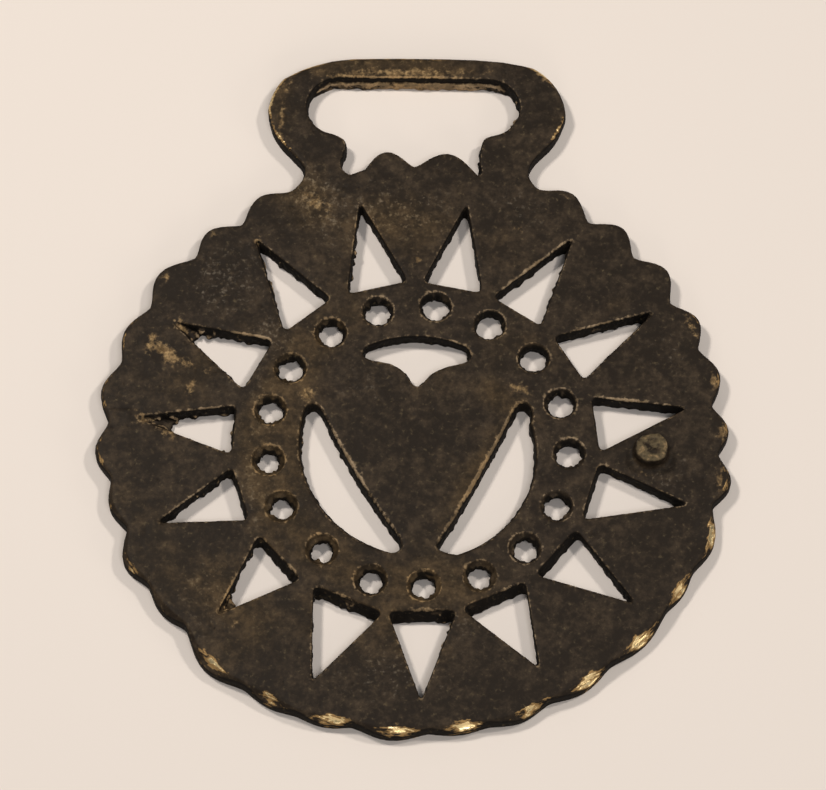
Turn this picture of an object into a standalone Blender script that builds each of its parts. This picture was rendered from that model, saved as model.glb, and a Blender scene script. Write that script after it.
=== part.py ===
"""A pierced horse brass, cast in one piece: a scalloped disc under a strap loop.

It lies on its flat back. +Z is up through the front, +Y points to the strap loop,
and the origin is the middle of the disc on the back face.
Sizes are in millimetres and turned to metres as each mesh is made.
Bearings are in degrees, clockwise from the strap loop, seen from the front.
"""

import math

import bmesh
import bpy
from mathutils import Matrix, Vector

MM = 0.001

# The plate
THICKNESS = 2.6
EDGE_ROUNDING = 0.3  # the sand leaves every front edge soft
BACK_ROUNDING = 0.15
DRAFT = 0.1  # how much each opening narrows on its way to the back, on each side
OVERRUN = 0.4  # how far each cutter runs past the faces it cuts

# The scalloped rim: an even row about the origin, cut by hand. Each scallop, clockwise from the
# middle of the strap loop: how many degrees the valley before it strays, how much higher than
# VALLEY_RADIUS that valley lies, and how much higher than CROWN_RADIUS the crown after it stands.
CROWN_RADIUS = 39.5
VALLEY_RADIUS = 38.1
SCALLOPS = (
    (0.0, -0.1, 0.7),
    (0.5, -0.3, 0.0),
    (1.0, 0.5, 0.5),
    (0.5, -0.5, 0.3),
    (0.0, -0.4, 0.4),
    (0.0, -0.5, 0.2),
    (-1.0, -0.1, 0.1),
    (-1.0, -0.4, 0.0),
    (-3.0, 0.0, 0.5),
    (-4.5, 0.1, 0.2),
    (-3.0, 0.6, -0.5),
    (-6.0, 0.4, -0.3),
    (-3.0, 0.2, -0.4),
    (-1.5, 0.2, -0.3),
    (-1.5, 0.5, -0.6),
    (-2.5, 0.3, -0.2),
    (-0.5, 0.2, -0.4),
    (-2.0, 0.8, -0.2),
    (-3.5, 0.7, 0.2),
    (0.5, -0.5, -0.8),
    (-0.5, 0.1, 0.1),
    (-0.5, -0.4, -0.4),
    (-2.0, 0.2, 0.6),
    (-2.5, 0.4, 0.6),
    (-2.0, 0.4, 0.2),
    (-1.5, 0.1, 0.4),
    (0.0, -0.4, -0.2),
    (-0.5, -0.9, -0.1),
    (-1.0, 0.2, 0.0),
    (1.5, -0.4, 0.9),
)
SCALLOP_STEPS = 10
SCALLOP_FULLNESS = 1.4  # under 1 makes the valleys sharp, over 1 rounds them
FEET = 2  # the strap loop stands between the valleys this many scallops from its middle
RIM_WEAR = 0.5  # how much more of the edge is gone from the crowns at the foot of the disc
WEAR_START = -0.35  # minus the cosine of the bearing at which that wear sets in
WEAR_SPREAD = 0.9

# The strap loop: two round shoulders under a bar, on two necks. Each line runs clockwise.
SHOULDER_RADIUS = 8.4
LEFT_SHOULDER = (-10.7, 45.7)
RIGHT_SHOULDER = (11.3, 45.4)
LEFT_SHOULDER_BEARINGS = (275.0, 310.0)
RIGHT_SHOULDER_BEARINGS = (30.0, 88.0)
SHOULDER_STEPS = 12
LEFT_NECK = ((-15.9, 34.8), (-14.6, 36.2), (-14.2, 38.0), (-15.7, 40.0), (-17.3, 41.8), (-18.5, 43.9))
TOP_BAR = ((-15.1, 52.3), (-12.4, 53.3), (-8.0, 54.1), (4.0, 54.1), (11.5, 53.6))
RIGHT_NECK = ((18.7, 43.2), (17.5, 41.4), (15.8, 39.7), (14.8, 38.0), (14.9, 36.5), (15.8, 35.2))

# The strap slot, open below to the rim's two top scallops and a notch beside each
SLOT_LEFT = (-9.85, 47.1)
SLOT_LEFT_RADIUS = 4.35
SLOT_RIGHT = (9.55, 46.85)
SLOT_RIGHT_RADIUS = 4.3
SLOT_SWEEP = 170.0
SLOT_STEPS = 16
LEFT_LEG = ((-9.3, 42.1), (-9.05, 41.0), (-9.7, 39.2), (-9.5, 37.8), (-8.4, 36.9))
RIGHT_LEG = ((8.2, 36.6), (8.9, 37.3), (8.6, 38.6), (8.8, 41.0), (9.2, 42.2))
OPENING_LIP = 0.2

# The ring of holes, evenly pitched about its own middle. Each one, clockwise: how many degrees it
# strays, and how far outside the ring's circle it stands.
RING_CENTRE = (0.5, -0.8)
RING_RADIUS = 18.9
HOLE_FIRST_BEARING = 8.0
HOLES = (
    (-1.5, 0.3),
    (-0.5, -0.1),
    (0.5, -0.1),
    (1.0, -0.2),
    (1.0, 0.0),
    (2.0, 0.2),
    (1.5, 0.3),
    (0.5, 0.3),
    (0.5, 0.0),
    (-0.5, 0.2),
    (0.5, -0.4),
    (3.0, 0.1),
    (1.5, 0.0),
    (1.0, 0.3),
    (-1.5, 0.4),
    (-1.5, 0.1),
    (-2.5, 0.2),
)
HOLE_RADIUS = 2.2
HOLE_LIP = 0.35
THROAT_RADIUS = 1.65  # each hole is narrowest half way down, where the mould's two halves met
THROAT_SLACK = 0.2  # how much wider the throats are at WIDE_BEARING, and tighter opposite it
WIDE_BEARING = 30.0
HOLE_STEPS = 20

# The rays, evenly pitched and narrowing outwards. Each one, clockwise: how many degrees its point
# strays, how much longer than RAY_REACH it is, how many degrees more than RAY_HALF_WIDTH its two
# base corners stand out, and how far short of its point it goes right through.
RAY_CENTRE = (0.5, -0.8)
RAY_FIRST_BEARING = -13.0
RAY_REACH = 34.8
RAY_BASE = 22.5
RAY_BASE_SPREAD = 0.5  # how much further out the bases are on both sides of the disc
RAY_BASE_SHIFT = 0.4  # and how much of that moves from the right side to the left
RAY_FOOT_DRAFT = 0.7  # how much more the bases slope at the foot of the disc
RAY_HALF_WIDTH = 9.7
RAYS = (
    (0.5, 0.5, 1.5, 0.5, 0.5),
    (-0.5, 0.0, 0.5, 1.0, 0.8),
    (-0.5, 0.9, 1.0, -0.5, 1.4),
    (-0.5, 1.1, 1.0, -1.0, 1.7),
    (-1.5, 0.0, 0.5, 0.5, 0.8),
    (-3.5, 0.3, 1.5, 0.5, 0.8),
    (-2.5, -0.1, 1.5, 0.5, 1.2),
    (-1.5, -1.2, 1.5, 2.5, 0.8),
    (0.5, -0.3, 2.0, 1.5, 0.8),
    (-0.5, -0.3, 3.0, 2.5, 0.5),
    (0.5, -0.5, -1.0, 2.5, 2.6),
    (1.0, 0.0, -2.5, 2.5, 1.0),
    (1.0, 1.8, -1.0, -1.0, 4.4),
    (-0.5, 1.5, 1.0, 0.0, 3.2),
    (1.0, 1.4, 1.5, -1.0, 1.0),
)
RAY_CORNER_RADIUS = 0.7
RAY_POINT_RADIUS = 0.3
CORNER_STEPS = 3

# The heart, left standing between three openings: a crescent on each side and a lunette above
CRESCENT_LIP = 0.35
ARC_STEPS = 16
LEFT_CRESCENT_CENTRE = (1.0, -0.4)
LEFT_CRESCENT_RADIUS = 15.7
LEFT_CRESCENT_BEARINGS = (283.0, 194.0)
LEFT_CRESCENT_TIP = ((-1.9, -15.4), (-1.3, -14.6))
LEFT_HEART_SIDE = ((-1.6, -13.2), (-11.4, 4.1))
LEFT_CRESCENT_TOP = ((-12.3, 5.0), (-13.2, 5.2), (-13.9, 4.5))
RIGHT_CRESCENT_CENTRE = (1.1, -2.1)
RIGHT_CRESCENT_RADIUS = 14.4
RIGHT_CRESCENT_BEARINGS = (163.0, 73.0)
RIGHT_CRESCENT_TOP = ((15.1, 3.2), (14.9, 4.4), (14.1, 5.2), (12.9, 5.1))
RIGHT_HEART_SIDE = ((12.0, 3.5), (3.2, -13.0))
RIGHT_CRESCENT_TIP = ((2.4, -14.4), (2.9, -15.2), (4.2, -15.7))
LEFT_BOW = 0.5  # how far each side of the heart swells
RIGHT_BOW = 0.25
LUNETTE_CENTRE = (0.2, -0.75)
LUNETTE_RADIUS = 15.0
LUNETTE_HALF_SWEEP = 25.5
HEART_TOP = (
    (-6.8, 11.6),
    (-5.6, 10.7),
    (-3.1, 10.2),
    (-1.3, 9.0),
    (-0.5, 7.6),
    (0.4, 7.0),
    (1.2, 7.6),
    (2.2, 8.8),
    (4.2, 9.8),
    (6.5, 10.4),
    (7.4, 11.5),
)

# The casting stud on the front, at the right
STUD_CENTRE = (29.6, -2.0)
STUD_RADIUS = 2.1
STUD_FOOT_RADIUS = 2.35
STUD_HEIGHT = 2.2
STUD_LEAN = 11.0  # degrees its top leans towards the strap loop
STUD_STEPS = 28

BRASS_COLOUR = (0.13, 0.1, 0.065, 1.0)
BRASS_ROUGHNESS = 0.45


def polar(bearing, radius, centre=(0.0, 0.0)):
    """The point at this bearing, clockwise from +Y, and radius."""
    angle = math.radians(bearing)
    return (centre[0] + radius * math.sin(angle), centre[1] + radius * math.cos(angle))


def arc(centre, radius, start, end, steps):
    """Points along an arc from one bearing to another, both ends included."""
    turn = (end - start) / steps
    return [polar(start + turn * i, radius, centre) for i in range(steps + 1)]


def ring(centre, radius, steps):
    """An anticlockwise circle of points."""
    return arc(centre, radius, 360, 0, steps)[:-1]


def bowed(start, end, bow, steps):
    """Points from start to end along a shallow arc that swells to the left by bow."""
    points = []
    dx = end[0] - start[0]
    dy = end[1] - start[1]
    length = math.hypot(dx, dy)
    for i in range(steps + 1):
        u = i / steps
        lift = 4 * bow * u * (1 - u) / length
        points.append((start[0] + dx * u - dy * lift, start[1] + dy * u + dx * lift))
    return points


def catmull_rom(a, b, c, d, u):
    """The value at share u of the way from b to c, with a before them and d after."""
    slope_b = (c - a) / 2
    slope_c = (d - b) / 2
    square = u * u
    cube = square * u
    start = (2 * cube - 3 * square + 1) * b + (cube - 2 * square + u) * slope_b
    return start + (3 * square - 2 * cube) * c + (cube - square) * slope_c


def smooth(knots, steps):
    """A smooth line through the knots, both end knots included."""
    padded = [knots[0], *knots, knots[-1]]
    points = [knots[0]]
    for a, b, c, d in zip(padded, padded[1:], padded[2:], padded[3:]):
        for i in range(1, steps + 1):
            x = catmull_rom(a[0], b[0], c[0], d[0], i / steps)
            y = catmull_rom(a[1], b[1], c[1], d[1], i / steps)
            points.append((x, y))
    return points


def corner_half(corners, i):
    """Half the angle at a corner, and the unit vectors along its bisector and its first side."""
    here = Vector(corners[i])
    to_last = (Vector(corners[i - 1]) - here).normalized()
    to_next = (Vector(corners[(i + 1) % len(corners)]) - here).normalized()
    return to_last.angle(to_next) / 2, (to_last + to_next).normalized(), to_last


def shrunk(corners, amount):
    """The corners of a polygon whose sides have all moved inwards by amount."""
    moved = []
    for i, corner in enumerate(corners):
        half, bisector, _ = corner_half(corners, i)
        moved.append(tuple(Vector(corner) + bisector * amount / math.sin(half)))
    return moved


def rounded(corners, radii, steps):
    """The outline of an anticlockwise polygon with its corners rounded."""
    points = []
    for i, corner in enumerate(corners):
        half, bisector, side = corner_half(corners, i)
        centre = Vector(corner) + bisector * radii[i] / math.sin(half)
        spoke = Vector(corner) + side * radii[i] / math.tan(half) - centre
        turn = (math.pi - 2 * half) / steps
        for step in range(steps + 1):
            points.append(tuple(centre + Matrix.Rotation(turn * step, 2) @ spoke))
    return points


def grown(loop, amounts):
    """An anticlockwise loop moved outwards by an amount for each point, or by one for them all."""
    if not isinstance(amounts, list):
        amounts = [amounts] * len(loop)
    moved = []
    for i, amount in enumerate(amounts):
        here = Vector(loop[i])
        before = (here - Vector(loop[i - 1])).normalized()
        after = (Vector(loop[(i + 1) % len(loop)]) - here).normalized()
        normal = Vector((before.y + after.y, -before.x - after.x)).normalized()
        slant = max(0.7, normal.dot(Vector((before.y, -before.x))))
        moved.append(tuple(here + normal * amount / slant))
    return moved


def level(loop, height):
    """The loop's points at one height."""
    return [(x, y, height) for x, y in loop]


def loft(name, sections, collection):
    """A closed body through sections with as many points each, anticlockwise, lowest first."""
    body = bmesh.new()
    rings = [[body.verts.new(Vector(point) * MM) for point in section] for section in sections]
    for lower, upper in zip(rings, rings[1:]):
        for i in range(len(lower)):
            j = (i + 1) % len(lower)
            body.faces.new((lower[i], lower[j], upper[j], upper[i]))
    body.faces.new(rings[0][::-1])
    body.faces.new(rings[-1])
    mesh = bpy.data.meshes.new(name)
    body.to_mesh(mesh)
    body.free()
    made = bpy.data.objects.new(name, mesh)
    collection.objects.link(made)
    return made


def valley(i):
    """The bearing and radius of the valley before a scallop."""
    turn, higher, _ = SCALLOPS[i % len(SCALLOPS)]
    return 360 / len(SCALLOPS) * i + turn, VALLEY_RADIUS + higher


def scalloped(first, last):
    """Bearings and radii along the scallops from one valley to another, and each point's swell."""
    points = []
    for i in range(first, last):
        start, low = valley(i)
        end, next_low = valley(i + 1)
        crown = CROWN_RADIUS + SCALLOPS[i % len(SCALLOPS)][2]
        for step in range(SCALLOP_STEPS):
            u = step / SCALLOP_STEPS
            swell = math.sin(math.pi * u) ** SCALLOP_FULLNESS
            floor = low + (next_low - low) * u
            radius = floor + (crown - (low + next_low) / 2) * swell
            points.append((start + (end - start) * u, radius, swell))
    return [*points, (*valley(last), 0)]


def wear(bearing):
    """The share of RIM_WEAR at a bearing: none at the top, all of it at the foot."""
    return min(1, max(0, (-math.cos(math.radians(bearing)) - WEAR_START) / WEAR_SPREAD))


def strap_loop_line():
    """The outside of the strap loop, clockwise from its left foot to its right one."""
    left = arc(LEFT_SHOULDER, SHOULDER_RADIUS, *LEFT_SHOULDER_BEARINGS, SHOULDER_STEPS)
    right = arc(RIGHT_SHOULDER, SHOULDER_RADIUS, *RIGHT_SHOULDER_BEARINGS, SHOULDER_STEPS)
    left_neck = smooth([*LEFT_NECK, left[0]], 2)[:-1]
    bar = smooth([left[-1], *TOP_BAR, right[0]], 2)[1:-1]
    right_neck = smooth([right[-1], *RIGHT_NECK], 2)[1:]
    return [*left_neck, *left, *bar, *right, *right_neck]


def build_plate(collection):
    """The plate before it is pierced, with a soft or worn front edge."""
    rim = scalloped(FEET, len(SCALLOPS) - FEET)
    strap_loop = strap_loop_line()
    edge = [polar(bearing, radius) for bearing, radius, _ in rim]
    lips = [EDGE_ROUNDING + RIM_WEAR * wear(bearing) * swell for bearing, _, swell in rim]
    edge = [*edge, *strap_loop][::-1]
    lips = [*lips, *[EDGE_ROUNDING] * len(strap_loop)][::-1]
    sections = (
        level(grown(edge, -BACK_ROUNDING), 0),
        level(edge, BACK_ROUNDING),
        [(x, y, THICKNESS - lip) for (x, y), lip in zip(edge, lips)],
        level(grown(edge, [-lip for lip in lips]), THICKNESS),
    )
    return loft("horse_brass", sections, collection)


def build_opening(name, front, back, lip, collection):
    """A cutter through the plate that opens out to a soft lip at the front."""
    sections = (
        level(back, -OVERRUN),
        level(back, THICKNESS / 4),
        level(grown(front, -lip), THICKNESS - lip),
        level(grown(front, OVERRUN), THICKNESS + OVERRUN),
    )
    return loft(name, sections, collection)


def build_slot(collection):
    """The strap slot, whose lower side follows the rim's two top scallops."""
    left = arc(SLOT_LEFT, SLOT_LEFT_RADIUS, 360, 360 - SLOT_SWEEP, SLOT_STEPS)
    right = arc(SLOT_RIGHT, SLOT_RIGHT_RADIUS, SLOT_SWEEP, 0, SLOT_STEPS)
    scallops = [polar(bearing, radius) for bearing, radius, _ in scalloped(-1, 1)][1:-1]
    left_leg = smooth([left[-1], *LEFT_LEG], 2)[1:]
    right_leg = smooth([*RIGHT_LEG, right[0]], 2)[:-1]
    front = [*left, *left_leg, *scallops, *right_leg, *right]
    back = grown(front, -OPENING_LIP - DRAFT)
    build_opening("slot_cutter", front, back, OPENING_LIP, collection)


def build_holes(collection):
    """The ring of round holes, each narrowing from both faces to its throat."""
    for i, (stray, out) in enumerate(HOLES):
        bearing = HOLE_FIRST_BEARING + 360 / len(HOLES) * i + stray
        centre = polar(bearing, RING_RADIUS + out, RING_CENTRE)
        throat_radius = THROAT_RADIUS + THROAT_SLACK * math.cos(math.radians(bearing - WIDE_BEARING))
        sections = (
            level(ring(centre, HOLE_RADIUS, HOLE_STEPS), -OVERRUN),
            level(ring(centre, throat_radius, HOLE_STEPS), THICKNESS / 2),
            level(ring(centre, HOLE_RADIUS - HOLE_LIP, HOLE_STEPS), THICKNESS - HOLE_LIP),
            level(ring(centre, HOLE_RADIUS + HOLE_LIP, HOLE_STEPS), THICKNESS + HOLE_LIP),
        )
        loft(f"hole_cutter_{i + 1:02d}", sections, collection)


def build_rays(collection):
    """The pierced rays, each blunter at the back, so that its point slopes up to the front."""
    for i, (turn, longer, near_wider, far_wider, short) in enumerate(RAYS):
        bearing = RAY_FIRST_BEARING + 360 / len(RAYS) * i
        angle = math.radians(bearing)
        near = bearing - RAY_HALF_WIDTH - near_wider
        far = bearing + RAY_HALF_WIDTH + far_wider
        aside = math.sin(angle)
        base = RAY_BASE + RAY_BASE_SPREAD * aside**2 - RAY_BASE_SHIFT * aside
        back_base = base + RAY_FOOT_DRAFT * max(0, -math.cos(angle))
        point = polar(bearing + turn, RAY_REACH + longer, RAY_CENTRE)
        front = (polar(near, base, RAY_CENTRE), polar(far, base, RAY_CENTRE), point)
        behind = (polar(near, back_base, RAY_CENTRE), polar(far, back_base, RAY_CENTRE), point)
        back = ray_loop(behind, OPENING_LIP, short)
        sections = (
            level(back, -OVERRUN),
            level(back, THICKNESS / 4),
            level(ray_loop(front, OPENING_LIP, 0), THICKNESS - OPENING_LIP),
            level(ray_loop(front, -OVERRUN, 0), THICKNESS + OVERRUN),
        )
        loft(f"ray_cutter_{i + 1:02d}", sections, collection)


def ray_loop(corners, inset, short):
    """A ray's outline moved inwards from its corners, its point blunted to end short of the corner."""
    base = max(0.2, RAY_CORNER_RADIUS - inset)
    half, _, _ = corner_half(corners, 2)
    point = max(0.1, RAY_POINT_RADIUS - inset, short / (1 / math.sin(half) - 1))
    return rounded(shrunk(corners, inset), (base, base, point), CORNER_STEPS)


def build_heart_openings(collection):
    """The three openings that leave the heart."""
    left = arc(LEFT_CRESCENT_CENTRE, LEFT_CRESCENT_RADIUS, *LEFT_CRESCENT_BEARINGS, ARC_STEPS)
    side = bowed(*LEFT_HEART_SIDE, LEFT_BOW, ARC_STEPS)
    left_loop = [*left, *LEFT_CRESCENT_TIP, *side, *LEFT_CRESCENT_TOP]
    right = arc(RIGHT_CRESCENT_CENTRE, RIGHT_CRESCENT_RADIUS, *RIGHT_CRESCENT_BEARINGS, ARC_STEPS)
    side = bowed(*RIGHT_HEART_SIDE, RIGHT_BOW, ARC_STEPS)
    right_loop = [*right, *RIGHT_CRESCENT_TOP, *side, *RIGHT_CRESCENT_TIP]
    for name, front in (("left_crescent", left_loop), ("right_crescent", right_loop)):
        back = grown(front, -CRESCENT_LIP - DRAFT)
        build_opening(f"{name}_cutter", front, back, CRESCENT_LIP, collection)
    sweep = LUNETTE_HALF_SWEEP
    crown = arc(LUNETTE_CENTRE, LUNETTE_RADIUS, sweep, -sweep, ARC_STEPS)
    lobes = smooth([crown[-1], *HEART_TOP, crown[0]], 2)[1:-1]
    front = [*crown, *lobes]
    back = grown(front, [*[0.0] * len(crown), *[-CRESCENT_LIP - DRAFT] * len(lobes)])
    build_opening("lunette_cutter", front, back, OPENING_LIP, collection)


def build_stud(collection):
    """The stud left by the casting, rooted in the plate, with a sloping top and a soft edge."""
    slope = math.tan(math.radians(STUD_LEAN))
    top = THICKNESS + STUD_HEIGHT
    bottom = level(ring(STUD_CENTRE, STUD_FOOT_RADIUS, STUD_STEPS), THICKNESS - 1.0)
    foot = level(ring(STUD_CENTRE, STUD_FOOT_RADIUS, STUD_STEPS), THICKNESS + 0.1)
    waist = level(ring(STUD_CENTRE, STUD_RADIUS, STUD_STEPS), THICKNESS + 0.5)
    edge = []
    for x, y in ring(STUD_CENTRE, STUD_RADIUS, STUD_STEPS):
        edge.append((x, y, top - EDGE_ROUNDING - slope * (y - STUD_CENTRE[1])))
    face = []
    for x, y in ring(STUD_CENTRE, STUD_RADIUS - EDGE_ROUNDING, STUD_STEPS):
        face.append((x, y, top - slope * (y - STUD_CENTRE[1])))
    return loft("stud_blank", (bottom, foot, waist, edge, face), collection)


def brass():
    """Old cast brass, dark with handling."""
    material = bpy.data.materials.new("patinated_brass")
    material.use_nodes = True
    shader = material.node_tree.nodes["Principled BSDF"]
    shader.inputs["Base Color"].default_value = BRASS_COLOUR
    shader.inputs["Metallic"].default_value = 1.0
    shader.inputs["Roughness"].default_value = BRASS_ROUGHNESS
    return material


def new_collection(name):
    """A collection linked to the scene."""
    made = bpy.data.collections.new(name)
    bpy.context.scene.collection.children.link(made)
    return made


def main():
    """Build the horse brass in a cleared scene."""
    for found in list(bpy.data.objects):
        bpy.data.objects.remove(found, do_unlink=True)
    whole = new_collection("Horse brass")
    cutters = new_collection("Cutters")
    blanks = new_collection("Blanks")
    plate = build_plate(whole)
    build_slot(cutters)
    build_holes(cutters)
    build_rays(cutters)
    build_heart_openings(cutters)
    stud = build_stud(blanks)
    for helper in [*cutters.objects, *blanks.objects]:
        helper.hide_render = True
        helper.display_type = "WIRE"
    pierce = plate.modifiers.new("Pierce", "BOOLEAN")
    pierce.operation = "DIFFERENCE"
    pierce.solver = "EXACT"
    pierce.operand_type = "COLLECTION"
    pierce.collection = cutters
    add_stud = plate.modifiers.new("Add stud", "BOOLEAN")
    add_stud.operation = "UNION"
    add_stud.solver = "EXACT"
    add_stud.object = stud
    plate.data.materials.append(brass())


main()
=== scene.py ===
"""Looks of the pierced horse brass: old cast brass, dark with handling, lying on a pale floor.

Sizes are in millimetres unless a comment says otherwise. Bearings are in degrees, clockwise from the
strap loop, seen from the front. A pair of numbers named for a fade is where it starts and ends.
Numbers that only mix or sway patterns, and the ends of the material's own steps, stand where
they are used.
"""

import math

import bpy
import numpy as np
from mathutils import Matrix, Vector


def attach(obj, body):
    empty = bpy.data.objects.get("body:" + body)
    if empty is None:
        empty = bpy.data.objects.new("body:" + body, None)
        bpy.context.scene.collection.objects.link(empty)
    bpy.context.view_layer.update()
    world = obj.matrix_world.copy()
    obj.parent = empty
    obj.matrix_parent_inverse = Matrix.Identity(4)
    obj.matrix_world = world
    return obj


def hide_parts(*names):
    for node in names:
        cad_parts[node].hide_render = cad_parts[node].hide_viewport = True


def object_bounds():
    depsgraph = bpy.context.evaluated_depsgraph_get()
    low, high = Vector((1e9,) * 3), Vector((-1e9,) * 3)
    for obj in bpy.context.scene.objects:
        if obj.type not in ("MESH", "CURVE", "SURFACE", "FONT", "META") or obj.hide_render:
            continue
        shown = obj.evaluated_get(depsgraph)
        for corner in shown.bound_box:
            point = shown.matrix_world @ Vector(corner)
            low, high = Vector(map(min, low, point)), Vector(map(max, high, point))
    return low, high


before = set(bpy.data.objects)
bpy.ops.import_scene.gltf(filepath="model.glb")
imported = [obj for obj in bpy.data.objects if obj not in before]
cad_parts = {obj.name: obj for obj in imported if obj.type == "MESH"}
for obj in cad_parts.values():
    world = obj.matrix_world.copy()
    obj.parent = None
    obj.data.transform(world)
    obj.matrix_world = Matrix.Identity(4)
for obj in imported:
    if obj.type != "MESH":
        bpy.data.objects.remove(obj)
cad_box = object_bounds()

MM = 0.001
NODE = "horse_brass"
SEED = 17

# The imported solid's box
LOW = np.array(cad_box[0]) / MM
HIGH = np.array(cad_box[1]) / MM

# The part's own sizes, as its source has them
THICKNESS = 2.6
RING_CENTRE = (0.5, -0.8)
RING_RADIUS = 18.9

# Where the walls of the openings are told from the rim's
PIERCED_RADIUS = 36.6  # inside this everything that isn't face is the wall of an opening
PIERCED_FADE = 0.3  # to each side of it
SLOT_SIDE_FADE = (14.8, 14.4)  # just outside the slot's ends, on both sides
SLOT_TOP_FADE = (52.0, 51.8)  # and just above it
SLOT_FOOT_FADE = (PIERCED_RADIUS - 0.5, PIERCED_RADIUS)
HOLE_BAND_FADE = (2.9, 2.3)  # the band of holes, to each side of its ring
BROWN_BAND = 3.6  # how far its brown reaches, in the same way
BAR_FADE = (49.6, 50.4)  # the bar over the slot has its underside above this
UNDERSIDE_FADE = (-0.4, -0.7)  # and facing the foot of the disc, by its normal's part toward the loop

# How a surface lies, by its normal's upward part: 1 on the flat front and 0 on an upright wall
FACE_FADE = (0.6, 0.9)
FRONT_FADE = (0.2, 0.6)
WALL_FADE = (0.8, 0.4)
BACK = -0.7  # below this it is part of the back

# The casting's mesh
VOXEL = 0.17
SOFTEN_ROUNDS = 3
WEAR_ROUNDS = 6
MOST_TRIANGLES = 190000

# Relief: how high each kind of unevenness stands, and how long its waves are
SWELL = 0.05
SWELL_LENGTH = 9.0
SKIN = 0.016
SKIN_LENGTH = 0.9
GRIT = 0.010
GRIT_LENGTH = 0.42
PITS = 320
PIT_RADII = (0.18, 0.42)
PIT_DEPTHS = (0.03, 0.1)
WEAR_DEPTH = 0.1  # what stands out of its surroundings by this is fully worn, or fully grimy below
BACK_RELIEF = 0.35  # the share of the relief that the back has
BACK_FADE = (0.12, 0.3)  # and it has none at the plane it lies on

# Ragged flash on the walls of the openings: everywhere a little, and more near these places
FLASH = 0.18
HOLE_FLASH = 0.22
FLASH_LENGTH = 0.75
FLASH_FINER = 2.1  # its finer waves are this many times shorter
FLASH_RISE = 0.35  # heights count for this much, so the waves are about three times longer up the wall
FLASH_TOP = 2.25
FLASH_FADE = 0.5
FLASH_WALL_FADE = (0.45, 0.8)
FLASH_LIT_FADE = (0.12, 0.3)  # it gets a painted highlight where it stands out by this
FLASH_LEVEL_FADE = (-0.1, 0.35)  # and where it doesn't face down
FLASH_PATCHES = (
    # x, y, radius, amount
    (16.4, 20.4, 2.2, 0.6),
    (18.8, 26.0, 2.5, 0.3),
    (26.0, 13.5, 3.5, 0.3),
    (-20.5, -17.0, 3.5, 0.4),
    (-23.5, -23.0, 2.5, 0.4),
    (-30.0, 3.5, 4.0, 0.45),
    (-24.0, 0.5, 4.0, 0.4),
    (-27.0, -8.0, 3.0, 0.3),
    (-25.5, 12.0, 4.0, 0.45),
    (-27.0, 16.5, 2.5, 0.4),
    (-18.5, 22.0, 4.0, 0.35),
    (-8.3, 25.5, 2.5, 0.35),
    (-6.5, -25.5, 4.0, 0.2),
    (4.2, -26.5, 2.5, 0.5),
    (-0.6, -28.5, 2.5, 0.4),
    (-12.5, -22.0, 4.0, 0.25),
    (13.5, 45.6, 2.2, 0.7),
    (9.0, 38.0, 2.2, 0.6),
    (-13.5, -2.0, 5.0, 0.2),
)

# The ledge that the mould's lower half left along the underside of the bar
LEDGE = 0.3
LEDGE_TOP = 1.4
LEDGE_FADE = 0.15
LEDGE_WAVES = 0.25
# the ledge gets a painted highlight below this height
LEDGE_LIT_FADE = (LEDGE_TOP + 0.2, LEDGE_TOP)
LEDGE_SPECKLE_LENGTH = 0.5
LEDGE_SPECKLE_DRAWN = (0.5, 1, 1)  # twice as long along the bar
LEDGE_BRIGHT = (2.0, 51.0, 6.0, 3.0, 90.0)  # where its painted highlight is strongest: x, y, reach along and across, bearing

# The rays, as the part's source lays them out: number 1 is the first one left of the strap loop
RAY_FIRST = -13.0
RAY_PITCH = 24.0
RAY_BASE = 22.5
RAY_REACH = 34.8
RAY_HALF_WIDTH = 9.7

# Light worn lips along the rays: number, side (-1 anticlockwise, 0 base, 1 clockwise), middle as a
# share of the way along it, reach as a share of its length, strength
RAY_LIPS = (
    (3, -1, 0.5, 0.5, 1.0),
    (4, -1, 0.55, 0.45, 0.8),
    (5, -1, 0.5, 0.45, 0.9),
    (6, -1, 0.1, 0.2, 0.8),
    (8, 0, 0.3, 0.3, 0.4),
    (9, 0, 0.5, 0.5, 0.5),
    (9, -1, 0.5, 0.4, 0.4),
    (9, 1, 0.5, 0.4, 0.4),
    (10, 0, 0.5, 0.4, 0.5),
    (10, 1, 0.5, 0.5, 0.7),
    (11, 1, 0.5, 0.5, 0.9),
    (11, 0, 0.4, 0.3, 0.5),
    (12, 1, 0.4, 0.5, 1.0),
    (13, 1, 0.4, 0.4, 0.5),
    (14, 1, 0.2, 0.3, 0.8),
    (15, -1, 0.6, 0.4, 0.4),
    (1, -1, 0.7, 0.3, 0.4),
)
LIP_WIDTH = 1.0  # how far each reaches across its edge
# and along the other openings, in the same way: start, end, middle, reach, strength
LIPS = (
    ((12.0, 3.5), (3.2, -13.0), 0.5, 0.55, 1.4),
    ((-1.6, -13.2), (-11.4, 4.1), 0.5, 0.45, 0.9),
    ((2.5, 14.2), (8.0, 11.0), 0.6, 0.4, 0.9),
    ((-14.6, 2.0), (-13.0, -9.0), 0.5, 0.5, 0.4),
    ((-10.0, 51.4), (10.0, 51.4), 0.5, 0.6, 0.7),
)
LIP_HEIGHT = 0.05
LIP_STRETCH = 2.5  # they come and go over this length
LIP_FOOT_FADE = (1.5, 1.9)  # none lower down the walls
LIP_SLOPE_FADE = (0.3, 0.6)
LIP_FLAT_FADE = (0.995, 0.95)
LIP_STRETCH_FADE = (-0.5, 0.4)
LIP_THIN_FADE = (0.6, 0.85)
LIP_FOOTWARD_FADE = (0.0, -0.25)  # by its normal's part toward the strap loop

# The rim's scallops are counted clockwise from the strap loop, each this many degrees wide
SCALLOP_PITCH = 12.0
CROWN_RADIUS = 39.5

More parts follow.
